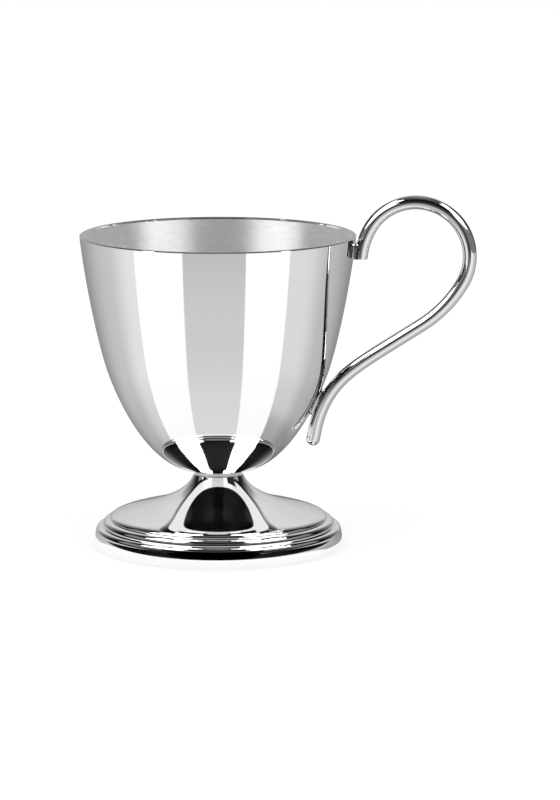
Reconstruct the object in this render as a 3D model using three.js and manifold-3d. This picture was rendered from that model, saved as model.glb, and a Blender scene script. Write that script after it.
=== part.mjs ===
// A child's silver mug: a tall spun bowl on a low flared foot, with a round wire handle.
// Millimetres. +Z is up, z = 0 is the table, and the handle is on the +X side.
// The pieces are drawn about the bowl's axis, and the whole mug is then moved along X,
// so that the origin is the middle of the space that it takes on the table.
import * as THREE from "three";
import { mergeVertices } from "three/addons/utils/BufferGeometryUtils.js";
import Module from "manifold-3d";

// The bowl, spun from sheet.
const RIM_RADIUS = 35;
const RIM_HEIGHT = 80;
const BOWL_WALL = 1;
// The lower curve of the bowl's side meets the upper one here.
const WAIST_RADIUS = 27.7;
const WAIST_HEIGHT = 44.2;
const WAIST_LEAN = 20.3;
const RIM_LEAN = 5.9;
// How far each curve runs straight before it bends, in millimetres.
const BELLY_PULL = 8.8;
const BELLY_RISE_PULL = 14;
const SIDE_PULL = 8.2;
const RIM_PULL = 10.3;

// The collar between the bowl and the foot.
const COLLAR_RADIUS = 5.6;
const COLLAR_HEIGHT = 1.15;
const COLLAR_BULGE = 0.2;
// The flat under the bowl is this much wider than the collar.
const SEAT_MARGIN = 0.5;

// The foot, spun hollow and open underneath.
const FOOT_HEIGHT = 18.75;
const FOOT_WALL = 1;
const NECK_RADIUS = 6.25;
const NECK_PULL = 8.6;
const NECK_SPREAD = 3.3;
const FLARE_RADIUS = 27.7;
const FLARE_HEIGHT = 7.32;
const FLARE_PULL = 2.8;
const FLARE_LIP = 0.7;
// Two round reeds step down under the flare, then a full band stands on the table.
const REED_STEP = 1.82;
const UPPER_REED_HEIGHT = 1.83;
const LOWER_REED_HEIGHT = 1.35;
const REED_BULGE = 0.65;
const BAND_STEP = 0.3;
const BAND_TOP_LEAN = 14;
const BAND_TUCK_HEIGHT = 1.9;
const BAND_TUCK_WIDTH = 1.8;
const REST_WIDTH = 1.2;

// The handle, one bent wire of round section.
const WIRE_RADIUS = 1.75;
const UPPER_END_DROP = 5.35;
const UPPER_LEG_GAP = 0.3;
const LEG_LEAN = 4.3;
const LEG_RADIUS = 18.8;
const LEG_ANGLE = 24.2;
const ARCH_RADIUS = 13.5;
const ARCH_ANGLE = 181.6;
const SHOULDER_RADIUS = 31.8;
const SHOULDER_ANGLE = 26.6;
const LOWER_SEAT_HEIGHT = 38;
const LOWER_SEAT_GAP = 0.25;
const LOWER_RUN_PULL = 19;
const LOWER_BEND_PULL = 9;
const TAIL_RADIUS = 25.7;
const TAIL_ANGLE = 14;
const TAIL_LENGTH = 2.9;

// The block that fills the space between the bowl and the wire's upper end.
const LUG_HEIGHT = 4.4;
const LUG_WIDTH = 3.2;

// The solder under the lower bend of the wire.
const SOLDER_LENGTH = 7.4;
const SOLDER_WIDTH = 2.6;

// Soldered pieces stop this far short of the pieces they touch.
const JOINT_GAP = 0.05;

// How finely the curves are divided.
const TURN_STEPS = 60;
const CURVE_STEPS = 11;
const ROUND_STEPS = 5;
const RIM_STEPS = 4;
const WIRE_STEPS = 66;
const WIRE_SIDES = 8;
// Corners closer than this are one corner.
const WELD_DISTANCE = 1e-4;
// How closely a height is found along a curve, as a share of the curve.
const SEARCH_STEP = 1e-7;

const BAND_RADIUS = FLARE_RADIUS + 2 * REED_STEP + BAND_STEP;
const SEAT_RADIUS = COLLAR_RADIUS + SEAT_MARGIN;
const SEAT_HEIGHT = FOOT_HEIGHT + COLLAR_HEIGHT;

const wasm = await Module();
wasm.setup();

const radians = THREE.MathUtils.degToRad;

function point(radius, height) {
  return new THREE.Vector2(radius, height);
}

// The direction that leans outwards from straight up by an angle in degrees.
function upwards(lean) {
  return point(Math.sin(radians(lean)), Math.cos(radians(lean)));
}

function stepped(from, direction, distance) {
  return from.clone().addScaledVector(direction, distance);
}

// The two curves of the bowl's outer side, from its flat seat up to the rim.
function bowlCurves() {
  const seat = point(SEAT_RADIUS, SEAT_HEIGHT);
  const waist = point(WAIST_RADIUS, WAIST_HEIGHT);
  const rim = point(RIM_RADIUS, RIM_HEIGHT);
  const atWaist = upwards(WAIST_LEAN);
  const belly = new THREE.CubicBezierCurve(
    seat,
    point(SEAT_RADIUS + BELLY_PULL, SEAT_HEIGHT),
    stepped(waist, atWaist, -BELLY_RISE_PULL),
    waist
  );
  const side = new THREE.CubicBezierCurve(
    waist,
    stepped(waist, atWaist, SIDE_PULL),
    stepped(rim, upwards(RIM_LEAN), -RIM_PULL),
    rim
  );
  return [belly, side];
}

// Points along a curve moved sideways to its left, which is inwards on a side that rises.
function offsetPoints(curve, distance, steps) {
  const points = [];
  for (let i = 0; i <= steps; i++) {
    const tangent = curve.getTangent(i / steps);
    points.push(stepped(curve.getPoint(i / steps), point(-tangent.y, tangent.x), distance));
  }
  return points;
}

// The bowl's side as points from the seat to the rim, moved outwards by a clearance.
function bowlSide(clearance) {
  const [belly, side] = bowlCurves();
  const lower = offsetPoints(belly, -clearance, CURVE_STEPS);
  return lower.concat(offsetPoints(side, -clearance, CURVE_STEPS).slice(1));
}

// Where the bowl's side is at a height, and the direction in which it rises there.
function wallAt(height) {
  const [belly, side] = bowlCurves();
  const curve = height < WAIST_HEIGHT ? belly : side;
  let low = 0;
  let high = 1;
  while (high - low > SEARCH_STEP) {
    const middle = (low + high) / 2;
    if (curve.getPoint(middle).y < height) low = middle;
    else high = middle;
  }
  return { place: curve.getPoint(low), rising: curve.getTangent(low) };
}

// A quarter turn from one point to another that leaves along the first direction.
function quarterRound(from, corner, to) {
  return new THREE.QuadraticBezierCurve(from, corner, to).getPoints(ROUND_STEPS);
}

// A profile in radius and height, turned about the Z axis.
function turned(profile) {
  return new THREE.LatheGeometry(profile, TURN_STEPS).rotateX(Math.PI / 2);
}

function solidOf(geometry) {
  const bare = geometry.clone();
  bare.deleteAttribute("normal");
  bare.deleteAttribute("uv");
  const merged = mergeVertices(bare, WELD_DISTANCE);
  return new wasm.Manifold(
    new wasm.Mesh({
      numProp: 3,
      vertProperties: merged.attributes.position.array,
      triVerts: new Uint32Array(merged.index.array),
    })
  );
}

function geometryOf(solid) {
  const mesh = solid.getMesh();
  const geometry = new THREE.BufferGeometry();
  geometry.setAttribute("position", new THREE.BufferAttribute(mesh.vertProperties, 3));
  geometry.setIndex(new THREE.BufferAttribute(mesh.triVerts, 1));
  geometry.computeVertexNormals();
  return geometry;
}

function named(name, geometry, colour, roughness) {
  const material = new THREE.MeshStandardMaterial({ color: colour, metalness: 1, roughness });
  const mesh = new THREE.Mesh(geometry, material);
  mesh.name = name;
  return mesh;
}

// The bowl: its outer side, a rounded rim, and the same side again one wall further in.
function makeBowl() {
  const outside = bowlSide(0);
  const inside = bowlSide(-BOWL_WALL).reverse();
  const rimOut = outside[outside.length - 1];
  const rimIn = inside[0];
  const crown = rimOut.clone().add(rimIn).multiplyScalar(0.5);
  crown.addScaledVector(upwards(-RIM_LEAN), BOWL_WALL / 2);
  const rim = new THREE.QuadraticBezierCurve(rimOut, crown, rimIn).getPoints(RIM_STEPS).slice(1, -1);
  const profile = [point(0, SEAT_HEIGHT), ...outside, ...rim, ...inside];
  profile.push(point(0, SEAT_HEIGHT + BOWL_WALL));
  return turned(profile);
}

// The collar: a short disc with a bulging edge.
function makeCollar() {
  const top = point(COLLAR_RADIUS, SEAT_HEIGHT);
  const bottom = point(COLLAR_RADIUS, FOOT_HEIGHT);
  const middle = point(COLLAR_RADIUS + 2 * COLLAR_BULGE, FOOT_HEIGHT + COLLAR_HEIGHT / 2);
  const edge = quarterRound(bottom, middle, top);
  return turned([point(0, FOOT_HEIGHT), ...edge, point(0, SEAT_HEIGHT)]);
}

// The foot's top surface, from the edge of the flare up to the neck.
function flareCurve() {
  return new THREE.CubicBezierCurve(
    point(FLARE_RADIUS, FLARE_HEIGHT),
    point(FLARE_RADIUS + FLARE_LIP, FLARE_HEIGHT + FLARE_PULL),
    point(NECK_RADIUS + NECK_SPREAD, FOOT_HEIGHT - NECK_PULL),
    point(NECK_RADIUS, FOOT_HEIGHT)
  );
}

// The three creases of the moulding, from the edge of the flare down to the band.
function creases() {
  const flare = point(FLARE_RADIUS, FLARE_HEIGHT);
  const between = point(flare.x + REED_STEP, flare.y - UPPER_REED_HEIGHT);
  const band = point(between.x + REED_STEP, between.y - LOWER_REED_HEIGHT);
  return [flare, between, band];
}

// A round reed that rises from one crease to the next one.
function reed(low, high) {
  const out = low.clone().add(high).multiplyScalar(0.5);
  const along = high.clone().sub(low);
  out.addScaledVector(point(along.y, -along.x).normalize(), 2 * REED_BULGE);
  return quarterRound(low, out, high);
}

// The foot: rest ring, band, two reeds, flare and neck, then the hollow underneath.
function makeFoot() {
  const [flare, between, bandTop] = creases();
  const bandCorner = point(
    BAND_RADIUS,
    bandTop.y - BAND_STEP / Math.tan(radians(BAND_TOP_LEAN))
  );
  const widest = point(BAND_RADIUS, BAND_TUCK_HEIGHT);
  const restEdge = point(BAND_RADIUS - BAND_TUCK_WIDTH, 0);
  const profile = quarterRound(restEdge, point(BAND_RADIUS, 0), widest);
  profile.push(...quarterRound(widest, bandCorner, bandTop).slice(1));
  profile.push(...reed(bandTop, between).slice(1));
  profile.push(...reed(between, flare).slice(1));
  profile.push(...flareCurve().getPoints(CURVE_STEPS).slice(1));

  const ceiling = FOOT_HEIGHT - FOOT_WALL;
  const under = offsetPoints(flareCurve(), FOOT_WALL, CURVE_STEPS).slice(2).reverse();
  const below = under.filter((p) => p.y < ceiling);
  profile.push(point(0, FOOT_HEIGHT), point(0, ceiling), point(below[0].x, ceiling), ...below);
  const restInner = restEdge.x - REST_WIDTH;
  profile.push(point(restInner, bandTop.y - FOOT_WALL), point(restInner, 0));
  return turned([...profile, profile[0].clone()]);
}

// The wire's centre line in the plane of the handle, from its upper end to its tail.
function wireLine() {
  const upper = wallAt(RIM_HEIGHT - UPPER_END_DROP).place;
  const line = new THREE.CurvePath();
  let place = point(upper.x + UPPER_LEG_GAP + WIRE_RADIUS, upper.y);
  let heading = 90 - LEG_LEAN;

  // Side is 1 for a bend to the left of the heading, and -1 for one to the right.
  function bend(radius, sweep, side) {
    const toCentre = radians(heading + 90 * side);
    const centre = stepped(place, point(Math.cos(toCentre), Math.sin(toCentre)), radius);
    const start = toCentre + Math.PI;
    const end = start + radians(sweep) * side;
    const arc = new THREE.ArcCurve(centre.x, centre.y, radius, start, end, side < 0);
    line.add(arc);
    place = arc.getPoint(1);
    heading += sweep * side;
  }

  bend(LEG_RADIUS, LEG_ANGLE, -1);
  bend(ARCH_RADIUS, ARCH_ANGLE, -1);
  bend(SHOULDER_RADIUS, SHOULDER_ANGLE, -1);

  const { seat, rising } = lowerSeat();
  const leaving = point(Math.cos(radians(heading)), Math.sin(radians(heading)));
  line.add(
    new THREE.CubicBezierCurve(
      place,
      stepped(place, leaving, LOWER_RUN_PULL),
      stepped(seat, rising, LOWER_BEND_PULL),
      seat
    )
  );
  place = seat;
  heading = THREE.MathUtils.radToDeg(Math.atan2(-rising.y, -rising.x));
  bend(TAIL_RADIUS, TAIL_ANGLE, 1);
  const tail = stepped(place, point(Math.cos(radians(heading)), Math.sin(radians(heading))), TAIL_LENGTH);
  line.add(new THREE.LineCurve(place, tail));
  return line;
}

// The wire's centre where it lies along the wall at the lower joint.
function lowerSeat() {
  const { place, rising } = wallAt(LOWER_SEAT_HEIGHT);
  const outwards = point(rising.y, -rising.x);
  return { seat: stepped(place, outwards, LOWER_SEAT_GAP + WIRE_RADIUS), rising };
}

// The wire with a round tail, made thicker by a clearance, its upper end cut level.
function wireSolid(clearance) {
  const radius = WIRE_RADIUS + clearance;
  const flat = wireLine().getSpacedPoints(WIRE_STEPS);
  // One more point below the upper end gives the level cut some wire to cut.
  const overrun = flat[0].clone().sub(flat[1]).setLength(WIRE_RADIUS).add(flat[0]);
  const places = [overrun, ...flat].map((p) => new THREE.Vector3(p.x, 0, p.y));
  const section = new THREE.Shape().absarc(0, 0, radius, 0, 2 * Math.PI, false);
  const rod = new THREE.ExtrudeGeometry(section, {
    steps: WIRE_STEPS,
    curveSegments: WIRE_SIDES,
    extrudePath: new THREE.CatmullRomCurve3(places),
  });
  const end = places[places.length - 1];
  const along = end.clone().sub(places[places.length - 2]).normalize();
  const tail = new THREE.SphereGeometry(radius, 2 * WIRE_SIDES, WIRE_SIDES);
  tail.applyQuaternion(new THREE.Quaternion().setFromUnitVectors(new THREE.Vector3(0, 1, 0), along));
  tail.translate(end.x, end.y, end.z);
  const level = flat[0].y - clearance;
  const below = new THREE.BoxGeometry(4 * radius, 4 * radius, 4 * radius);
  below.translate(flat[0].x, 0, level - 2 * radius);
  return solidOf(rod).add(solidOf(tail)).subtract(solidOf(below));
}

// The inside of the bowl's outer surface, grown by a clearance, to cut what is soldered on.
function bowlCutter() {
  const side = bowlSide(JOINT_GAP);
  return solidOf(turned([point(0, side[0].y), ...side, point(0, RIM_HEIGHT)]));
}

// A block between two heights and two radii, cut to the bowl and to the wire.
function soldered(radii, heights, width) {
  const depth = radii[1] - radii[0];
  const tall = heights[1] - heights[0];
  const block = new THREE.BoxGeometry(depth, width, tall);
  block.translate(radii[0] + depth / 2, 0, heights[0] + tall / 2);
  return solidOf(block).subtract(bowlCutter()).subtract(wireSolid(JOINT_GAP));
}

// The lug: level with the wire's cut end below, and just under the rim above.
function makeLug() {
  const low = RIM_HEIGHT - UPPER_END_DROP;
  const inner = wallAt(low).place.x;
  const outer = inner + UPPER_LEG_GAP + WIRE_RADIUS;
  return geometryOf(soldered([inner - WIRE_RADIUS, outer], [low, low + LUG_HEIGHT], LUG_WIDTH));
}

// The solder: a wedge along the wall under the wire's lower bend.
function makeSolder() {
  const { place, rising } = wallAt(LOWER_SEAT_HEIGHT);
  const thick = LOWER_SEAT_GAP + WIRE_RADIUS;
  const block = new THREE.BoxGeometry(2 * thick, SOLDER_WIDTH, SOLDER_LENGTH);
  block.rotateY(Math.atan2(rising.x, rising.y));
  block.translate(place.x, 0, place.y);
  const cut = solidOf(block).subtract(bowlCutter()).subtract(wireSolid(JOINT_GAP));
  return geometryOf(cut);
}

const mug = new THREE.Group();
mug.add(named("bowl", makeBowl(), 0xd6d7d9, 0.12));
mug.add(named("collar", makeCollar(), 0xcfd0d3, 0.2));
mug.add(named("foot", makeFoot(), 0xd4d5d8, 0.12));
mug.add(named("handle", geometryOf(wireSolid(0)), 0xd2d3d6, 0.14));
mug.add(named("upper_lug", makeLug(), 0xc9cacd, 0.25));
mug.add(named("lower_solder", makeSolder(), 0xc4c5c8, 0.3));

const space = new THREE.Box3().setFromObject(mug);
mug.position.x = -(space.min.x + space.max.x) / 2;

export default mug;
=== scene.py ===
import math
import bpy
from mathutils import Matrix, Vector


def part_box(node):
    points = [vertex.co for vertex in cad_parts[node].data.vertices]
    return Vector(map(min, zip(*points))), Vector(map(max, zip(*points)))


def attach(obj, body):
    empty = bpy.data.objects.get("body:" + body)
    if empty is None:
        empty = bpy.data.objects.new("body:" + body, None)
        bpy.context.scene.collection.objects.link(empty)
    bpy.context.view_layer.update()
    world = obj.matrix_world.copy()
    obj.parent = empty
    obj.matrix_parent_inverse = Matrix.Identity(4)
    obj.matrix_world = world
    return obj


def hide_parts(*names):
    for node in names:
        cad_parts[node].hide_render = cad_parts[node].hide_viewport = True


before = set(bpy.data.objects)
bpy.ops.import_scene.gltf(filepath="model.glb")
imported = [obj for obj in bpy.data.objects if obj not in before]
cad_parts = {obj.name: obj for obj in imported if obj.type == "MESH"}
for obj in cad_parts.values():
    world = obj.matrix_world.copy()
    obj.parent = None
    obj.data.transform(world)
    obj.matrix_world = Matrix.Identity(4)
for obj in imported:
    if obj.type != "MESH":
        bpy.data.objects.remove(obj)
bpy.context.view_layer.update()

# ---- The bowl ----
# A tall cup spun from one sheet of silver, narrow at the seat and open at the rim.
# Its outside is buffed to a mirror and its inside is left satin, with the fine rings
# that the spinning lathe and the abrasive cord leave round it.
MM = 0.001
bowl_low, bowl_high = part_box("bowl")
MUG_AXIS = (bowl_low[0] + bowl_high[0]) / 2

RIM_RADIUS = 35
RIM_HEIGHT = 80
BOWL_WALL = 1
WAIST_RADIUS = 27.7
WAIST_HEIGHT = 44.2
WAIST_LEAN = 20.3
RIM_LEAN = 5.9
SEAT_RADIUS = 6.1
SEAT_HEIGHT = 19.9
BELLY_PULL = 8.8
BELLY_RISE_PULL = 14
SIDE_PULL = 8.2
RIM_PULL = 10.3
POLISHED_LIP = 0.35
TURNS = 288
WALL_STEPS = 44
RIM_STEPS = 12
SPUN_SHARP_ANGLE = 28


def leaning(degrees):
    """The direction that leans outwards from straight up."""
    return Vector((math.sin(math.radians(degrees)), math.cos(math.radians(degrees))))


def curve_through(ends, pulls, steps):
    """Points of a cubic curve between two ends, with the two points that pull it."""
    points = []
    for step in range(steps + 1):
        t = step / steps
        s = 1 - t
        points.append(
            s**3 * ends[0] + 3 * s * s * t * pulls[0] + 3 * s * t * t * pulls[1] + t**3 * ends[1]
        )
    return points


def round_between(start, corner, end, steps):
    """Points of a soft corner, without its first point."""
    points = []
    for step in range(1, steps + 1):
        t = step / steps
        points.append((1 - t) ** 2 * start + 2 * t * (1 - t) * corner + t * t * end)
    return points


def moved_left(points, distance):
    """A line of points moved sideways, which is inwards for a wall that rises."""
    moved = []
    for i, point in enumerate(points):
        along = points[min(i + 1, len(points) - 1)] - points[max(i - 1, 0)]
        along.normalize()
        moved.append(point + distance * Vector((-along.y, along.x)))
    return moved


def bowl_wall_curves(steps=WALL_STEPS):
    """The bowl's outer wall as (radius, height) points from the seat up to the rim."""
    seat = Vector((SEAT_RADIUS, SEAT_HEIGHT))
    waist = Vector((WAIST_RADIUS, WAIST_HEIGHT))
    rim = Vector((RIM_RADIUS, RIM_HEIGHT))
    belly = curve_through(
        (seat, waist),
        (seat + Vector((BELLY_PULL, 0)), waist - BELLY_RISE_PULL * leaning(WAIST_LEAN)),
        steps,
    )
    side = curve_through(
        (waist, rim),
        (waist + SIDE_PULL * leaning(WAIST_LEAN), rim - RIM_PULL * leaning(RIM_LEAN)),
        steps,
    )
    return belly + side[1:]


def smooth_piece(name, verts, faces, sharp_angle, slots=None):
    """An object shaded smooth, but for the edges that bend more than the sharp angle."""
    mesh = bpy.data.meshes.new(name)
    mesh.from_pydata(verts, [], faces)
    if slots:
        mesh.polygons.foreach_set("material_index", slots)
    mesh.polygons.foreach_set("use_smooth", [True] * len(faces))
    mesh.set_sharp_from_angle(angle=math.radians(sharp_angle))
    mesh.validate()
    piece = bpy.data.objects.new(name, mesh)
    bpy.context.scene.collection.objects.link(piece)
    return piece


def spun(name, profile, finish_of=None):
    """A mesh turned about the mug's axis from (radius, height) points in millimetres.
    finish_of gives the material slot of the band between a point and the next."""
    verts = []
    rings = []
    for radius, height in profile:
        if radius < 1e-6:
            rings.append([len(verts)] * TURNS)
            verts.append((MUG_AXIS, 0, height * MM))
            continue
        rings.append(list(range(len(verts), len(verts) + TURNS)))
        for turn in range(TURNS):
            angle = 2 * math.pi * turn / TURNS
            verts.append(
                (
                    MUG_AXIS + radius * MM * math.cos(angle),
                    radius * MM * math.sin(angle),
                    height * MM,
                )
            )
    faces = []
    slots = []
    for band in range(len(profile) - 1):
        low, high = rings[band], rings[band + 1]
        for turn in range(TURNS):
            after = (turn + 1) % TURNS
            corners = [low[turn], low[after], high[after], high[turn]]
            face = [c for i, c in enumerate(corners) if c not in corners[:i]]
            if len(face) > 2:
                faces.append(face)
                slots.append(finish_of(band) if finish_of else 0)
    return smooth_piece(name, verts, faces, SPUN_SHARP_ANGLE, slots)


outside = bowl_wall_curves()
inside = moved_left(outside, BOWL_WALL)[::-1]
rim_out, rim_in = outside[-1], inside[0]
rim_crown = (rim_out + rim_in) / 2 + BOWL_WALL / 2 * leaning(-RIM_LEAN)
rim_round = round_between(rim_out, rim_crown, rim_in, RIM_STEPS)[:-1]
lip = rim_in - POLISHED_LIP * leaning(RIM_LEAN)
bowl_profile = [Vector((0, SEAT_HEIGHT)), *outside, *rim_round, rim_in, lip, *inside[1:]]
bowl_profile.append(Vector((0, SEAT_HEIGHT + BOWL_WALL)))
lip_band = 1 + len(outside) + len(rim_round) + 1
crown_band = 1 + len(outside)


def bowl_finish(band):
    """The slot of a band: buffed outside, scratched and darkened with painted shade on top of the
    rim, satin inside.
    """
    if band >= lip_band:
        return 1
    return 2 if crown_band <= band < lip_band - 2 else 0


bowl = spun("spun_bowl", bowl_profile, bowl_finish)


def socket(group, name, kind, way="INPUT", start=None):
    made = group.interface.new_socket(name=name, in_out=way, socket_type=kind)
    if start is not None:
        made.default_value = start
    return made


MIX_A, MIX_B = 6, 7
COLOUR_MIX = {"data_type": "RGBA"}


def chained(tree, kind, settings, links):
    """One node with its settings, and its inputs set to values or fed by sockets."""
    node = tree.nodes.new(kind)
    for name, value in settings.items():
        setattr(node, name, value)
    for name, value in links.items():
        if isinstance(value, bpy.types.NodeSocket):
            tree.links.new(value, node.inputs[name])
        else:
            node.inputs[name].default_value = value
    return node


def turning_lines():
    """Fine rings round the mug's axis: a lathe's marks on any spun piece."""
    group = bpy.data.node_groups.new("turning_lines", "ShaderNodeTree")
    socket(group, "Fineness", "NodeSocketFloat", start=9000)
    socket(group, "Broken", "NodeSocketFloat", start=2)
    socket(group, "Lines", "NodeSocketFloat", "OUTPUT")
    socket(group, "Patches", "NodeSocketFloat", "OUTPUT")
    given = group.nodes.new("NodeGroupInput").outputs
    taken = group.nodes.new("NodeGroupOutput").inputs
    place = group.nodes.new("ShaderNodeTexCoord").outputs["Object"]
    centred = chained(
        group, "ShaderNodeVectorMath", {"operation": "SUBTRACT"}, {0: place, 1: (MUG_AXIS, 0, 0)}
    ).outputs[0]
    flat = chained(
        group, "ShaderNodeVectorMath", {"operation": "MULTIPLY"}, {0: centred, 1: (1, 1, 0)}
    ).outputs[0]
    radius = chained(group, "ShaderNodeVectorMath", {"operation": "LENGTH"}, {0: flat})
    heading = chained(group, "ShaderNodeVectorMath", {"operation": "NORMALIZE"}, {0: flat})
    height = chained(group, "ShaderNodeSeparateXYZ", {}, {0: centred}).outputs["Z"]
    climb = chained(
        group, "ShaderNodeMath", {"operation": "ADD"}, {0: radius.outputs["Value"], 1: height}
    ).outputs[0]
    fine = chained(
        group, "ShaderNodeMath", {"operation": "MULTIPLY"}, {0: climb, 1: given["Fineness"]}
    ).outputs[0]
    spread = chained(
        group,
        "ShaderNodeVectorMath",
        {"operation": "SCALE"},
        {0: heading.outputs[0], "Scale": given["Broken"]},
    ).outputs[0]
    upright = chained(group, "ShaderNodeCombineXYZ", {}, {"Z": fine}).outputs[0]
    where = chained(
        group, "ShaderNodeVectorMath", {"operation": "ADD"}, {0: spread, 1: upright}
    ).outputs[0]
    lines = chained(
        group,
        "ShaderNodeTexNoise",
        {},
        {"Vector": where, "Scale": 1, "Detail": 5, "Roughness": 0.7},
    )
    patches = chained(
        group,
        "ShaderNodeTexNoise",
        {},
        {"Vector": place, "Scale": 60, "Detail": 3, "Roughness": 0.55},
    )
    group.links.new(lines.outputs[0], taken["Lines"])
    group.links.new(patches.outputs[0], taken["Patches"])
    return group


# Each run of hairlines: how it is turned, and how fine it is across and along.
SCRATCH_RUNS = (((0.5, 0.3, 0.9), (9000, 260, 9000)), ((1.9, 1.1, 0.2), (260, 9000, 9000)))


def buffing_marks():
    """Hairline scratches in two directions, and the soft haze of a buffing mop."""
    group = bpy.data.node_groups.new("buffing_marks", "ShaderNodeTree")
    socket(group, "Hairlines", "NodeSocketFloat", start=1)
    socket(group, "Haze", "NodeSocketFloat", "OUTPUT")
    socket(group, "Scratches", "NodeSocketFloat", "OUTPUT")
    given = group.nodes.new("NodeGroupInput").outputs
    taken = group.nodes.new("NodeGroupOutput").inputs
    place = group.nodes.new("ShaderNodeTexCoord").outputs["Object"]
    scratches = []
    for turn, stretch in SCRATCH_RUNS:
        turned = chained(
            group,
            "ShaderNodeMapping",
            {},
            {"Vector": place, "Rotation": turn, "Scale": stretch},
        )
        streak = chained(
            group,
            "ShaderNodeTexNoise",
            {},
            {"Vector": turned.outputs[0], "Scale": 1, "Detail": 2, "Roughness": 0.5},
        )
        sharp = chained(
            group,
            "ShaderNodeMapRange",
            {},
            {"Value": streak.outputs[0], "From Min": 0.66, "From Max": 0.8},
        )
        scratches.append(sharp.outputs[0])
    both = chained(
        group, "ShaderNodeMath", {"operation": "MAXIMUM"}, {0: scratches[0], 1: scratches[1]}
    ).outputs[0]
    amount = chained(
        group, "ShaderNodeMath", {"operation": "MULTIPLY"}, {0: both, 1: given["Hairlines"]}
    ).outputs[0]
    haze = chained(
        group,
        "ShaderNodeTexNoise",
        {},
        {"Vector": place, "Scale": 130, "Detail": 6, "Roughness": 0.62},
    )
    group.links.new(haze.outputs[0], taken["Haze"])
    group.links.new(amount, taken["Scratches"])
    return group


LATHE = turning_lines()
BUFF = buffing_marks()
SILVER_BRIGHT = (0.965, 0.965, 0.962, 1)
SILVER_WORN = (0.93, 0.928, 0.92, 1)
# Painted shade: the rim's top gets dark silver colours, so that it renders grey.
RIM_PAINTED_SHADE = (0.4, 0.4, 0.4, 1)
RIM_PAINTED_SHADE_WORN = (0.3, 0.3, 0.3, 1)


def new_material(name):
    material = bpy.data.materials.new(name)
    material.use_nodes = True
    tree = material.node_tree
    tree.nodes.clear()
    shader = tree.nodes.new("ShaderNodeBsdfPrincipled")
    shader.inputs["Metallic"].default_value = 1
    output = tree.nodes.new("ShaderNodeOutputMaterial")
    tree.links.new(shader.outputs[0], output.inputs["Surface"])
    return material, tree, shader


def mirror_silver(
    name, roughness, ring_depth, hairlines=1, bright=SILVER_BRIGHT, worn=SILVER_WORN
):
    """Buffed silver: a mirror with a trace of haze, hairlines and lathe rings."""
    material, tree, shader = new_material(name)
    buff = chained(tree, "ShaderNodeGroup", {"node_tree": BUFF}, {"Hairlines": hairlines})
    lathe = chained(
        tree, "ShaderNodeGroup", {"node_tree": LATHE}, {"Fineness": 1400, "Broken": 1.2}
    )
    tint = chained(
        tree,
        "ShaderNodeMix",
        COLOUR_MIX,
        {"Factor": buff.outputs["Scratches"], MIX_A: bright, MIX_B: worn},
    )
    haze = chained(
        tree,
        "ShaderNodeMapRange",
        {},
        {
            "Value": buff.outputs["Haze"],
            "From Min": 0.3,
            "From Max": 0.75,
            "To Min": roughness,
            "To Max": roughness * 1.9,
        },
    )
    scuffed = chained(
        tree,
        "ShaderNodeMath",
        {"operation": "MULTIPLY_ADD"},
        {0: buff.outputs["Scratches"], 1: 0.08, 2: haze.outputs[0]},
    )
    rings = chained(
        tree,
        "ShaderNodeBump",
        {},
        {"Strength": 1, "Distance": ring_depth, "Height": lathe.outputs["Lines"]},
    )
    tree.links.new(tint.outputs[2], shader.inputs["Base Color"])
    tree.links.new(scuffed.outputs[0], shader.inputs["Roughness"])
    tree.links.new(rings.outputs[0], shader.inputs["Normal"])
    return material


def satin_silver():
    """The cup's inside: rings of fine abrasive lines that spread each highlight upright."""
    material, tree, shader = new_material("satin_inside")
    shader.inputs["Metallic"].default_value = 0.66
    shader.inputs["Anisotropic"].default_value = 1
    shader.inputs["Anisotropic Rotation"].default_value = 0.25
    around = chained(tree, "ShaderNodeTangent", {"direction_type": "RADIAL", "axis": "Z"}, {})
    lathe = chained(tree, "ShaderNodeGroup", {"node_tree": LATHE}, {"Fineness": 2600, "Broken": 9})
    streaks = chained(
        tree, "ShaderNodeGroup", {"node_tree": LATHE}, {"Fineness": 1000, "Broken": 12}
    )
    tint = chained(
        tree,
        "ShaderNodeMix",
        COLOUR_MIX,
        {"Factor": streaks.outputs["Lines"], MIX_A: (0.72, 0.72, 0.72, 1), MIX_B: (1, 1, 1, 1)},
    )
    dull = chained(
        tree,
        "ShaderNodeMapRange",
        {},
        {
            "Value": lathe.outputs["Patches"],
            "From Min": 0.3,
            "From Max": 0.7,
            "To Min": 0.42,
            "To Max": 0.5,
        },
    )
    bump = chained(
        tree,
        "ShaderNodeBump",
        {},
        {"Strength": 1, "Distance": 6e-6, "Height": lathe.outputs["Lines"]},
    )
    tree.links.new(tint.outputs[2], shader.inputs["Base Color"])
    tree.links.new(dull.outputs[0], shader.inputs["Roughness"])
    tree.links.new(bump.outputs[0], shader.inputs["Normal"])
    tree.links.new(around.outputs[0], shader.inputs["Tangent"])
    return material


bowl.data.materials.append(mirror_silver("buffed_bowl", roughness=0.035, ring_depth=2e-7))
bowl.data.materials.append(satin_silver())
# The rim's top is darkened with painted shade.
bowl.data.materials.append(
    mirror_silver("painted_shade_rim", 0.12, 2e-7, bright=RIM_PAINTED_SHADE, worn=RIM_PAINTED_SHADE_WORN)
)
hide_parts("bowl")
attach(bowl, "root")

# ---- The collar ----
# A short silver disc between the bowl and the foot, with a rounded edge.
# It is soldered to both, so the two seams keep a little dull grey in their corners.
COLLAR_RADIUS = 5.6
COLLAR_FOOT = 18.75
COLLAR_BULGE = 0.2

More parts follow.
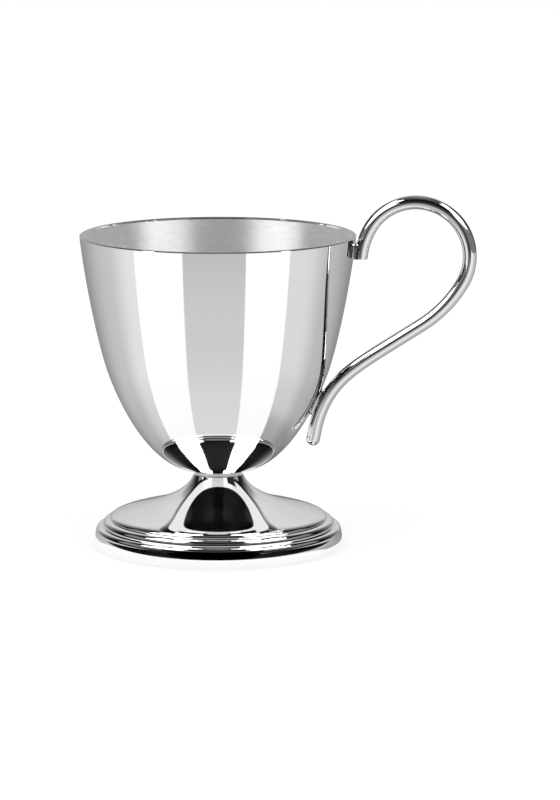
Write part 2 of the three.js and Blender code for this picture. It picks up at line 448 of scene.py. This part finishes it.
collar_low = Vector((COLLAR_RADIUS, COLLAR_FOOT))
collar_high = Vector((COLLAR_RADIUS, SEAT_HEIGHT))
collar_out = (collar_low + collar_high) / 2 + Vector((2 * COLLAR_BULGE, 0))
collar = spun(
    "collar_disc",
    [
        Vector((0, COLLAR_FOOT)),
        collar_low,
        *round_between(collar_low, collar_out, collar_high, 14),
        Vector((0, SEAT_HEIGHT)),
    ],
)
collar.data.materials.append(mirror_silver("buffed_collar", roughness=0.3, ring_depth=4e-7))
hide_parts("collar")
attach(collar, "root")

# ---- The foot ----
# A spun foot, hollow and open underneath: a narrow neck that flares out to two round
# reeds and an upright band, whose turned-in lower edge stands on the table.
FOOT_HEIGHT = COLLAR_FOOT
FOOT_WALL = 1
NECK_RADIUS = 6.25
NECK_PULL = 8.6
NECK_SPREAD = 3.3
FLARE_RADIUS = 27.7
FLARE_HEIGHT = 7.32
FLARE_PULL = 2.8
FLARE_LIP = 0.7
REED_STEP = 1.82
UPPER_REED_HEIGHT = 1.83
LOWER_REED_HEIGHT = 1.35
REED_BULGE = 0.65
BAND_STEP = 0.3
BAND_TOP_LEAN = 14
BAND_TUCK_HEIGHT = 1.9
BAND_TUCK_WIDTH = 1.8
REST_WIDTH = 1.2


def foot_profile():
    flare_edge = Vector((FLARE_RADIUS, FLARE_HEIGHT))
    between_reeds = flare_edge + Vector((REED_STEP, -UPPER_REED_HEIGHT))
    band_top = between_reeds + Vector((REED_STEP, -LOWER_REED_HEIGHT))
    band_radius = band_top.x + BAND_STEP
    band_corner = Vector(
        (band_radius, band_top.y - BAND_STEP / math.tan(math.radians(BAND_TOP_LEAN)))
    )
    widest = Vector((band_radius, BAND_TUCK_HEIGHT))
    rest_edge = Vector((band_radius - BAND_TUCK_WIDTH, 0))
    points = [rest_edge]
    points += round_between(rest_edge, Vector((band_radius, 0)), widest, 20)
    points += round_between(widest, band_corner, band_top, 20)
    for low, high in ((band_top, between_reeds), (between_reeds, flare_edge)):
        along = (high - low).normalized()
        swell = 2 * REED_BULGE * Vector((along.y, -along.x))
        points += round_between(low, (low + high) / 2 + swell, high, 24)
    flare = curve_through(
        (flare_edge, Vector((NECK_RADIUS, FOOT_HEIGHT))),
        (
            flare_edge + Vector((FLARE_LIP, FLARE_PULL)),
            Vector((NECK_RADIUS + NECK_SPREAD, FOOT_HEIGHT - NECK_PULL)),
        ),
        80,
    )
    points += flare[1:]
    ceiling = FOOT_HEIGHT - FOOT_WALL
    below = [p for p in moved_left(flare, FOOT_WALL)[14:] if p.y < ceiling][::-1]
    points += [Vector((0, FOOT_HEIGHT)), Vector((0, ceiling)), Vector((below[0].x, ceiling))]
    points += below
    rest_inner = rest_edge.x - REST_WIDTH
    points += [Vector((rest_inner, band_top.y - FOOT_WALL)), Vector((rest_inner, 0)), rest_edge]
    return points


foot = spun("spun_foot", foot_profile())
foot.data.materials.append(mirror_silver("buffed_foot", roughness=0.03, ring_depth=2e-7))
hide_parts("foot")
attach(foot, "root")

# ---- The handle ----
# One length of round silver wire, bent cold into a loop over the rim and a long slope
# back to the bowl. Its upper end is cut level and its tail is rounded off with a file.
WIRE_RADIUS = 1.75
UPPER_END_DROP = 5.35
UPPER_LEG_GAP = 0.3
LEG_LEAN = 4.3
LEG_RADIUS, LEG_ANGLE = 18.8, 24.2
ARCH_RADIUS, ARCH_ANGLE = 13.5, 181.6
SHOULDER_RADIUS, SHOULDER_ANGLE = 31.8, 26.6
LOWER_SEAT_HEIGHT = 38
LOWER_SEAT_GAP = 0.25
LOWER_RUN_PULL = 19
LOWER_BEND_PULL = 9
TAIL_RADIUS, TAIL_ANGLE, TAIL_LENGTH = 25.7, 14, 2.9
END_BEVEL = 0.18
WIRE_SIDES = 48
TAIL_STEPS = 8
TAIL_CAP_RINGS = 16
WIRE_SHARP_ANGLE = 35


def wall_at(height):
    """Where the bowl's outer wall is at a height, and the way it rises there."""
    wall = bowl_wall_curves(400)
    for low, high in zip(wall, wall[1:]):
        if low.y <= height <= high.y and high.y > low.y:
            share = (height - low.y) / (high.y - low.y)
            return low.lerp(high, share), (high - low).normalized()


def heading_to(degrees):
    return Vector((math.cos(math.radians(degrees)), math.sin(math.radians(degrees))))


def wire_line():
    """The wire's centre line in the plane of the handle, from its cut end to its tail."""
    upper = wall_at(RIM_HEIGHT - UPPER_END_DROP)[0]
    points = [Vector((upper.x + UPPER_LEG_GAP + WIRE_RADIUS, upper.y))]
    heading = 90 - LEG_LEAN

    def bend(radius, sweep, side, steps):
        nonlocal heading
        centre = points[-1] + radius * heading_to(heading + 90 * side)
        for step in range(1, steps + 1):
            turned = heading + sweep * side * step / steps
            points.append(centre - radius * heading_to(turned + 90 * side))
        heading += sweep * side

    bend(LEG_RADIUS, LEG_ANGLE, -1, 24)
    bend(ARCH_RADIUS, ARCH_ANGLE, -1, 130)
    bend(SHOULDER_RADIUS, SHOULDER_ANGLE, -1, 36)
    place, rising = wall_at(LOWER_SEAT_HEIGHT)
    seat = place + (LOWER_SEAT_GAP + WIRE_RADIUS) * Vector((rising.y, -rising.x))
    start = points[-1]
    pulls = (start + LOWER_RUN_PULL * heading_to(heading), seat + LOWER_BEND_PULL * rising)
    points.extend(curve_through((start, seat), pulls, 120)[1:])
    heading = math.degrees(math.atan2(-rising.y, -rising.x))
    bend(TAIL_RADIUS, TAIL_ANGLE, 1, 18)
    for _ in range(TAIL_STEPS):
        points.append(points[-1] + TAIL_LENGTH / TAIL_STEPS * heading_to(heading))
    return points


def wire_handle():
    line = wire_line()
    verts = []
    rings = []

    def ring(centre, along, radius, level=None):
        side = Vector((along.y, -along.x))
        first = len(verts)
        for step in range(WIRE_SIDES):
            angle = 2 * math.pi * step / WIRE_SIDES
            spot = centre + radius * math.cos(angle) * side
            if level is not None:
                spot += along * (level - spot.y) / along.y
            verts.append(
                (MUG_AXIS + spot.x * MM, radius * math.sin(angle) * MM, spot.y * MM)
            )
        rings.append(list(range(first, first + WIRE_SIDES)))

    start = heading_to(90 - LEG_LEAN)
    cut = line[0].y
    ring(line[0], start, WIRE_RADIUS - END_BEVEL, cut)
    ring(line[0], start, WIRE_RADIUS - END_BEVEL / 4, cut + END_BEVEL / 4)
    ring(line[0], start, WIRE_RADIUS, cut + END_BEVEL)
    for before, point, after in zip(line, line[1:], line[2:]):
        ring(point, (after - before).normalized(), WIRE_RADIUS)
    end = line[-1]
    along = (end - line[-2]).normalized()
    for step in range(TAIL_CAP_RINGS):
        angle = math.pi / 2 * step / TAIL_CAP_RINGS
        ring(end + WIRE_RADIUS * math.sin(angle) * along, along, WIRE_RADIUS * math.cos(angle))
    tip = end + WIRE_RADIUS * along
    verts.append((MUG_AXIS + tip.x * MM, 0, tip.y * MM))
    faces = [rings[0]]
    for low, high in zip(rings, rings[1:]):
        for i in range(WIRE_SIDES):
            j = (i + 1) % WIRE_SIDES
            faces.append([low[j], low[i], high[i], high[j]])
    for i in range(WIRE_SIDES):
        faces.append([rings[-1][(i + 1) % WIRE_SIDES], rings[-1][i], len(verts) - 1])
    return smooth_piece("wire_handle", verts, faces, WIRE_SHARP_ANGLE)


handle = wire_handle()
# Painted shade: the wire's silver is darker than the bowl's, which dims its reflections.
WIRE_PAINTED_SHADE = (0.77, 0.77, 0.77, 1)
WIRE_PAINTED_SHADE_WORN = (0.67, 0.67, 0.665, 1)
handle.data.materials.append(
    mirror_silver("buffed_wire_painted_shade", 0.055, 1e-7, 0.8, bright=WIRE_PAINTED_SHADE, worn=WIRE_PAINTED_SHADE_WORN)
)
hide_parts("handle")
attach(handle, "root")

# ---- The upper lug ----
# A small silver block under the rim that joins the bowl to the wire's cut end.
# Its sides are filed hollow between the two, and its top corners are rounded.
LUG_HEIGHT = 4.4
LUG_HALF_WIDTH = 1.6
LUG_HOLLOW = 0.3
LUG_DIP = 0.35
LUG_ROUND = 0.9
LUG_BEVEL = 0.12
LUG_STATIONS = 18
BURIED = 0.5
JOINT_SHARP_ANGLE = 40


def lug_outline(half, low, high):
    """The lug cut across: flat below, upright sides and a rounded top."""
    outline = [Vector((half - LUG_BEVEL, low)), Vector((half, low + LUG_BEVEL))]
    shoulder = Vector((half, high - LUG_ROUND))
    outline.append(shoulder)
    outline += round_between(shoulder, Vector((half, high)), Vector((half - LUG_ROUND, high)), 9)
    return outline + [Vector((-p.x, p.y)) for p in outline[::-1]]


def skinned(name, rows):
    """A closed mesh through rows of points that each go round the piece once."""
    verts = [p for row in rows for p in row]
    count = len(rows[0])
    faces = [list(range(count))[::-1], [len(verts) - count + i for i in range(count)]]
    for row in range(len(rows) - 1):
        for i in range(count):
            j = (i + 1) % count
            first = row * count
            faces.append([first + i, first + j, first + count + j, first + count + i])
    return smooth_piece(name, verts, faces, JOINT_SHARP_ANGLE)


lug_low = RIM_HEIGHT - UPPER_END_DROP
lug_rows = []
for station in range(LUG_STATIONS + 1):
    across = station / LUG_STATIONS
    dip = math.sin(math.pi * across)
    half = LUG_HALF_WIDTH - LUG_HOLLOW * dip
    row = []
    for spot in lug_outline(half, lug_low, lug_low + LUG_HEIGHT - LUG_DIP * dip):
        wall = wall_at(spot.y)[0].x - BURIED
        wire = wall_at(lug_low)[0].x + UPPER_LEG_GAP + WIRE_RADIUS
        reach = wall + (wire - wall) * across
        row.append((MUG_AXIS + reach * MM, -spot.x * MM, spot.y * MM))
    lug_rows.append(row)
upper_lug = skinned("lug_under_rim", lug_rows)


# Painted shade darkens the lug and the lower solder; their duller, warmer finish is the solder's
# own.
SOLDER_PAINTED_SHADE = (0.7, 0.7, 0.695, 1)
SOLDER_PAINTED_SHADE_HAZE = (0.56, 0.555, 0.545, 1)


def shaded_solder_silver(name):
    """Silver that was heated with solder: a little duller and warmer than the rest, and darkened
    with painted shade.
    """
    material, tree, shader = new_material(name)
    buff = chained(tree, "ShaderNodeGroup", {"node_tree": BUFF}, {"Hairlines": 1})
    tint = chained(
        tree,
        "ShaderNodeMix",
        COLOUR_MIX,
        {"Factor": buff.outputs["Haze"], MIX_A: SOLDER_PAINTED_SHADE, MIX_B: SOLDER_PAINTED_SHADE_HAZE},
    )
    dull = chained(
        tree,
        "ShaderNodeMapRange",
        {},
        {
            "Value": buff.outputs["Haze"],
            "From Min": 0.3,
            "From Max": 0.75,
            "To Min": 0.1,
            "To Max": 0.24,
        },
    )
    bump = chained(
        tree,
        "ShaderNodeBump",
        {},
        {"Strength": 1, "Distance": 6e-6, "Height": buff.outputs["Haze"]},
    )
    tree.links.new(tint.outputs[2], shader.inputs["Base Color"])
    tree.links.new(dull.outputs[0], shader.inputs["Roughness"])
    tree.links.new(bump.outputs[0], shader.inputs["Normal"])
    return material


upper_lug.data.materials.append(shaded_solder_silver("soldered_lug_painted_shade"))
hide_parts("upper_lug")
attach(upper_lug, "root")

# ---- The lower solder ----
# The silver solder that ran in between the bowl and the lower bend of the wire.
# It lies as a hollow fillet on both sides of the wire and thins out at its two ends.
SOLDER_LENGTH = 7.4
SOLDER_WIDTH = 2.6
SOLDER_CLIMB = 0.68
SOLDER_STATIONS = 24
SOLDER_BLUNT_END = 0.03
SOLDER_END_SHARE = 0.35

solder_place, solder_rise = wall_at(LOWER_SEAT_HEIGHT)
solder_out = Vector((solder_rise.y, -solder_rise.x))
wire_points = wire_line()
solder_rows = []
for station in range(SOLDER_STATIONS + 1):
    along = (station / SOLDER_STATIONS - 0.5) * SOLDER_LENGTH
    nearest = min(
        wire_points, key=lambda p: abs((p - solder_place).dot(solder_rise) - along)
    )
    lift = (nearest - solder_place).dot(solder_out)
    taper = math.sqrt(max(SOLDER_BLUNT_END, 1 - (2 * along / SOLDER_LENGTH) ** 2))
    foot_half = SOLDER_WIDTH / 2 * (SOLDER_END_SHARE + (1 - SOLDER_END_SHARE) * taper)
    top_half = min(WIRE_RADIUS * SOLDER_CLIMB * taper, foot_half)
    top = lift - math.sqrt(WIRE_RADIUS**2 - top_half**2)
    hollow = Vector((top_half * 0.9, top * 0.3))
    edge = round_between(Vector((foot_half, 0)), hollow, Vector((top_half, top + 0.05)), 8)
    half_row = [Vector((foot_half, -BURIED)), Vector((foot_half, 0)), *edge, Vector((0.2, lift))]
    outline = half_row + [Vector((-p.x, p.y)) for p in half_row[::-1]]
    row = []
    for spot in outline:
        place = solder_place + along * solder_rise + spot.y * solder_out
        row.append((MUG_AXIS + place.x * MM, spot.x * MM, place.y * MM))
    solder_rows.append(row)
lower_solder = skinned("solder_under_wire", solder_rows)
lower_solder.data.materials.append(shaded_solder_silver("run_solder_painted_shade"))
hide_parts("lower_solder")
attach(lower_solder, "root")

# ---- The studio ----
# A white table under two tall soft boxes, one to each side of the camera. Mirror silver
# shows whatever stands round it: grey cards over the table, a dome of screens, and dark
# cards for its deeper reflections. Nothing but a reflection sees any of these.
# Azimuths are in degrees from the camera, positive to its right. Lengths are in metres.
CAMERA_TURN = 9
WHITE_LEFT = (-71, -28)
WHITE_RIGHT = (22, 59.5)
SCREEN_DISTANCE = 1.7
SOFT_BOX_LIGHT = 1.1
SOFT_BOX_DISTANCE = 1.5
SOFT_BOX_CENTRE = 1.32
SOFT_BOX_TALL = 2.6
SOFT_BOX_WIDER = 1.1
ROOM_LIGHT = 0.88
TABLE_WHITE = (0.94, 0.94, 0.94, 1)
TABLE_GLOW = 1.08
TABLE_GLOW_SHARE = 0.6
CARD_START = 0.0318
CARD_END = 1.5


def towards(azimuth):
    """The level direction at an azimuth from the camera, positive to its right."""
    angle = math.radians(azimuth + CAMERA_TURN)
    return Vector((math.sin(angle), -math.cos(angle), 0))


def between(value, steps):
    """A brightness or another measure at a value, read off a few (value, measure) steps."""
    for (low, dark), (high, light) in zip(steps, steps[1:]):
        if value <= high:
            share = max(0, (value - low) / (high - low))
            share = share * share * (3 - 2 * share)
            return dark + (light - dark) * share
    return steps[-1][1]


def card_surface(name, depths, beyond=None):
    """Glows towards the mug by the card's own levels, in reflections of some depths.
    In deeper or shallower ones it has one other level, or isn't there."""
    surface = bpy.data.materials.new(name)
    surface.use_nodes = True
    tree = surface.node_tree
    tree.nodes.clear()
    level = chained(tree, "ShaderNodeAttribute", {"attribute_name": "brightness"}, {})
    side = tree.nodes.new("ShaderNodeNewGeometry")
    depth = tree.nodes.new("ShaderNodeLightPath").outputs["Ray Depth"]
    middle, reach = (depths[0] + depths[1]) / 2, (depths[1] - depths[0]) / 2 + 0.5
    within = chained(
        tree, "ShaderNodeMath", {"operation": "COMPARE"}, {0: depth, 1: middle, 2: reach}
    )
    other = beyond or 0
    shown = chained(
        tree,
        "ShaderNodeMix",
        COLOUR_MIX,
        {
            "Factor": within.outputs[0],
            MIX_A: (other, other, other, 1),
            MIX_B: level.outputs["Color"],
        },
    )
    glow = chained(
        tree,
        "ShaderNodeEmission",
        {},
        {"Color": shown.outputs[2], "Strength": side.outputs["Backfacing"]},
    )
    end = tree.nodes.new("ShaderNodeOutputMaterial")
    if beyond is None:
        clear = tree.nodes.new("ShaderNodeBsdfTransparent")
        choice = tree.nodes.new("ShaderNodeMixShader")
        seen = chained(
            tree,
            "ShaderNodeMath",
            {"operation": "MULTIPLY"},
            {0: within.outputs[0], 1: side.outputs["Backfacing"]},
        )
        tree.links.new(seen.outputs[0], choice.inputs[0])
        tree.links.new(clear.outputs[0], choice.inputs[1])
        tree.links.new(glow.outputs[0], choice.inputs[2])
        tree.links.new(choice.outputs[0], end.inputs["Surface"])
    else:
        tree.links.new(glow.outputs[0], end.inputs["Surface"])
    return surface


FIRST = 1
DEEPEST = 30
card_finish = card_surface("card_brightness", (0, DEEPEST), beyond=0)
side_finish = card_surface("side_card_brightness", (0, FIRST), beyond=0.88)
grey_wall_finish = card_surface("grey_wall", (0, FIRST))
black_wall_finish = card_surface("black_wall", (FIRST + 2, DEEPEST))
shelf_finish = card_surface("dark_shelf", (FIRST + 1, DEEPEST))


def studio_card(name, azimuths, reaches, counts, place, brightness, finish=card_finish):
    """A card as a fine grid over two spans, seen only by the silver's reflections."""
    verts = []
    levels = []
    columns, rows = counts
    for row in range(rows + 1):
        reach = reaches[0] + (reaches[1] - reaches[0]) * row / rows
        for column in range(columns + 1):
            azimuth = azimuths[0] + (azimuths[1] - azimuths[0]) * column / columns
            verts.append(place(azimuth, reach))
            level = brightness(azimuth, reach)
            levels += (level, level, level, 1)
    faces = []
    for row in range(rows):
        for column in range(columns):
            first = row * (columns + 1) + column
            faces.append([first, first + 1, first + columns + 2, first + columns + 1])
    mesh = bpy.data.meshes.new(name)
    mesh.from_pydata(verts, [], faces)
    mesh.attributes.new("brightness", "FLOAT_COLOR", "POINT").data.foreach_set("color", levels)
    mesh.materials.append(finish)
    card = bpy.data.objects.new(name, mesh)
    bpy.context.scene.collection.objects.link(card)
    card.visible_camera = False
    card.visible_diffuse = False
    card.visible_shadow = False
    card.visible_transmission = False
    return card


def over_table(lifts):
    """Places points, by azimuth and farness, a little above the table, so that the foot's
    band sees under the card. Farness runs from 0 at the foot to 1 at the card's end."""

    def place(azimuth, farness):
        spot = towards(azimuth) * CARD_START * (CARD_END / CARD_START) ** farness
        return (MUG_AXIS + spot.x, spot.y, between(azimuth, lifts))

    return place


def on_screen(azimuth, elevation):
    """A point on the dome of screens round the table."""
    spot = towards(azimuth) * math.cos(math.radians(elevation)) * SCREEN_DISTANCE
    return (MUG_AXIS + spot.x, spot.y, math.sin(math.radians(elevation)) * SCREEN_DISTANCE)


def inside_screens(distance):
    """Places points, by azimuth and elevation, on a dome inside the dome of screens."""

    def place(azimuth, elevation):
        x, y, z = on_screen(azimuth, elevation)
        share = distance / SCREEN_DISTANCE
        return (MUG_AXIS + share * (x - MUG_AXIS), share * y, share * z)

    return place


def shelf_at(height):
    """Places points, by azimuth and reach, on a level card at one height."""

    def place(azimuth, reach):
        spot = towards(azimuth) * reach
        return (MUG_AXIS + spot.x, spot.y, height)

    return place


# Walls, in degrees up and aside. The grey one is for first reflections, the black one
# for third and deeper ones. GREY_WALL pairs degrees aside with brightness.
GREY_WALL = ((22, 0.07), (30, 0.22))
GREY_WALL_SPAN = 105
GREY_WALL_DISTANCE = 0.3
GREY_WALL_START = 12
GREY_WALL_END = 34
BLACK_WALL = 0.001
BLACK_WALL_DISTANCE = 1.666
BLACK_WALL_SPAN = 150
# Level shelves for second and deeper reflections: name, azimuths and height.
SHELF = 0.02
SHELF_REACHES = (0.033, 1.2)
SHELVES = (("left", (-75, -18), 0.0198), ("middle", (15, 40), 0.0198), ("right", (40, 75), 0.0125))
# Table cards: (farness, brightness), (degrees aside, brightness) and (azimuth, height). The side
# cards carry a painted shadow that darkens them near the foot.
FRONT_CARD = (
    (0, 0.71),
    (0.15, 0.69),
    (0.35, 0.61),
    (0.55, 0.53),
    (0.62, 0.45),
    (0.78, 0.02),
    (1, 0),
)
# Painted shadow: the side cards' brightness falls off towards the foot.
LEFT_SHADOW_NEAR_FOOT = ((0, 0.7), (0.1, 0.8), (0.3, 0.95), (1, 1))
RIGHT_SHADOW_NEAR_FOOT = ((0, 0.45), (0.07, 0.5), (0.16, 0.76), (0.35, 0.87), (1, 0.9))
SIDE_CARD = ((76, 0.82), (104, 0.58), (160, 0.31), (180, 0.28))
FRONT_CARD_LIFT = ((0, 0.005),)
SIDE_CARD_LIFT = ((-82, 0.0029), (78, 0.0022), (118, 0.0031))
# The silver sees each soft box as a window between two edges, which lean outwards.
# Each edge pairs degrees up with an azimuth.
SOFT_BOX_GLOW = 3.6
WINDOW_START = 14
WINDOW_END = 64
LEFT_INNER = ((32, -28), (36, -38.5), (50, -41.5), (58, -41.5), (70, -60))
LEFT_OUTER = ((0, -83), (27, -84.5), (42, -91.5), (50, -94), (64, -125))
RIGHT_INNER = ((32, 22), (36, 34.5), (50, 36.5), (58, 36.5), (70, 55))
RIGHT_OUTER = ((0, 78), (32, 79), (42, 85), (50, 87), (64, 120))
# The dome: WALL and BACK_RAMP by degrees aside, the others by degrees up.
WALL = ((20, 0.001), (30, 0.05), (60, 0.05), (75, 0.02))
WALL_FADE = ((0, 1), (5, 0.15), (34, 0.15), (45, 0))
DARK_SCREEN = ((0, 0), (25, 0.002), (40, 0.01), (57, 0.014), (71, 0.1), (90, 0.27))
BACK_SCREEN = ((0, 0.5), (20, 0.64), (36, 0.7), (65, 0.22), (90, 0.25))
BACK_RAMP = ((112, 0), (125, 0.04), (135, 0.18), (147, 0.42), (158, 0.95), (165, 1))


def screen_level(azimuth, elevation):
    """How bright the dome of screens is in one direction."""
    aside = abs(azimuth)
    left = between(elevation, LEFT_OUTER) < azimuth < between(elevation, LEFT_INNER)
    right = between(elevation, RIGHT_INNER) < azimuth < between(elevation, RIGHT_OUTER)
    if WINDOW_START < elevation < WINDOW_END and (left or right):
        return SOFT_BOX_GLOW
    front = between(elevation, DARK_SCREEN)
    front += between(aside, WALL) * between(elevation, WALL_FADE)
    back = between(elevation, BACK_SCREEN)
    return front + (back - front) * between(aside, BACK_RAMP)


studio_card(
    "table_card_front",
    (WHITE_LEFT[1], WHITE_RIGHT[0]),
    (0, 1),
    (60, 60),
    over_table(FRONT_CARD_LIFT),
    lambda azimuth, farness: between(farness, FRONT_CARD),
)
studio_card(
    "table_card_left",
    (-180, WHITE_LEFT[0]),
    (0, 1),
    (60, 40),
    over_table(SIDE_CARD_LIFT),
    lambda azimuth, farness: between(farness, LEFT_SHADOW_NEAR_FOOT) * between(-azimuth, SIDE_CARD),
    side_finish,
)
studio_card(
    "table_card_right",
    (WHITE_RIGHT[1], 180),
    (0, 1),
    (60, 40),
    over_table(SIDE_CARD_LIFT),
    lambda azimuth, farness: between(farness, RIGHT_SHADOW_NEAR_FOOT) * between(azimuth, SIDE_CARD),
    side_finish,
)
studio_card("dome_of_screens", (-180, 180), (0, 90), (720, 180), on_screen, screen_level)
studio_card(
    "grey_wall",
    (-GREY_WALL_SPAN, GREY_WALL_SPAN),
    (GREY_WALL_START, GREY_WALL_END),
    (200, 12),
    inside_screens(GREY_WALL_DISTANCE),
    lambda azimuth, elevation: between(abs(azimuth), GREY_WALL),
    grey_wall_finish,
)
studio_card(
    "black_wall",
    (-BLACK_WALL_SPAN, BLACK_WALL_SPAN),
    (WINDOW_START, GREY_WALL_END),
    (200, 12),
    inside_screens(BLACK_WALL_DISTANCE),
    lambda azimuth, elevation: BLACK_WALL,
    black_wall_finish,
)
for side, azimuths, height in SHELVES:
    studio_card(
        f"dark_shelf_{side}",
        azimuths,
        SHELF_REACHES,
        (60, 4),
        shelf_at(height),
        lambda azimuth, reach: SHELF,
        shelf_finish,
    )


def looked_at(tree):
    """1 for camera, glossy and transmission rays, and 0 for the rays that carry light."""
    rays = tree.nodes.new("ShaderNodeLightPath").outputs
    seen = rays["Is Camera Ray"]
    for kind in ("Is Glossy Ray", "Is Transmission Ray"):
        seen = chained(
            tree, "ShaderNodeMath", {"operation": "MAXIMUM"}, {0: seen, 1: rays[kind]}
        ).outputs[0]
    return seen


floor_mesh = bpy.data.meshes.new("table_top")
floor_mesh.from_pydata([(-6, -6, 0), (6, -6, 0), (6, 9, 0), (-6, 9, 0)], [], [[0, 1, 2, 3]])
floor = bpy.data.objects.new("table_top", floor_mesh)
bpy.context.scene.collection.objects.link(floor)
table_finish = bpy.data.materials.new("white_table")
table_finish.use_nodes = True
tree = table_finish.node_tree
tree.nodes.clear()
matt = chained(tree, "ShaderNodeBsdfDiffuse", {}, {"Color": TABLE_WHITE})
glow = chained(tree, "ShaderNodeEmission", {}, {"Strength": TABLE_GLOW})
share = chained(
    tree, "ShaderNodeMath", {"operation": "MULTIPLY"}, {0: looked_at(tree), 1: TABLE_GLOW_SHARE}
)
blend = chained(
    tree, "ShaderNodeMixShader", {}, {0: share.outputs[0], 1: matt.outputs[0], 2: glow.outputs[0]}
)
chained(tree, "ShaderNodeOutputMaterial", {}, {"Surface": blend.outputs[0]})
floor_mesh.materials.append(table_finish)

world = bpy.data.worlds.new("white_room")
bpy.context.scene.world = world
world.use_nodes = True
tree = world.node_tree
tree.nodes.clear()
room = chained(tree, "ShaderNodeBackground", {}, {"Color": (1, 1, 1, 1), "Strength": ROOM_LIGHT})
white = chained(tree, "ShaderNodeBackground", {}, {"Color": (1, 1, 1, 1), "Strength": 1})
blend = chained(
    tree, "ShaderNodeMixShader", {}, {0: looked_at(tree), 1: room.outputs[0], 2: white.outputs[0]}
)
chained(tree, "ShaderNodeOutputWorld", {}, {"Surface": blend.outputs[0]})

for name, (low, high) in (("soft_box_left", WHITE_LEFT), ("soft_box_right", WHITE_RIGHT)):
    lamp = bpy.data.lights.new(name, "AREA")
    lamp.shape = "RECTANGLE"
    half_width = SOFT_BOX_DISTANCE * math.tan(math.radians((high - low) / 2))
    lamp.size = 2 * half_width * SOFT_BOX_WIDER
    lamp.size_y = SOFT_BOX_TALL
    lamp.energy = SOFT_BOX_LIGHT * math.pi * lamp.size * lamp.size_y
    soft_box = bpy.data.objects.new(name, lamp)
    bpy.context.scene.collection.objects.link(soft_box)
    out = towards((low + high) / 2)
    stand = out * SOFT_BOX_DISTANCE
    soft_box.location = (MUG_AXIS + stand.x, stand.y, SOFT_BOX_CENTRE)
    soft_box.rotation_euler = (-out).to_track_quat("-Z", "Y").to_euler()
    soft_box.visible_camera = False
    soft_box.visible_glossy = False

# ---- The camera ----
# It stands a little above the rim, at the distance and angle of the photograph, and
# its focal length is worked out from the rim's and the foot's ovals.
CAMERA_DISTANCE = 1.05
CAMERA_HEIGHT = 0.21904
CAMERA_PITCH = 0.1710
CAMERA_YAW = 0.01496
FOCAL_PIXELS = 4186.4
PICTURE_HEIGHT = 800

camera_data = bpy.data.cameras.new("studio_camera")
camera_data.sensor_width = 36
camera_data.lens = camera_data.sensor_width * FOCAL_PIXELS / PICTURE_HEIGHT
camera_data.clip_start = 0.01
camera_data.clip_end = 50
camera = bpy.data.objects.new("studio_camera", camera_data)
bpy.context.scene.collection.objects.link(camera)
stand = towards(0) * CAMERA_DISTANCE
camera.location = (MUG_AXIS + stand.x, stand.y, CAMERA_HEIGHT)
facing = -towards(-math.degrees(CAMERA_YAW)) * math.cos(CAMERA_PITCH)
facing.z = -math.sin(CAMERA_PITCH)
camera.rotation_euler = facing.to_track_quat("-Z", "Y").to_euler()
bpy.context.scene.camera = camera
bpy.context.scene.view_settings.view_transform = "Standard"
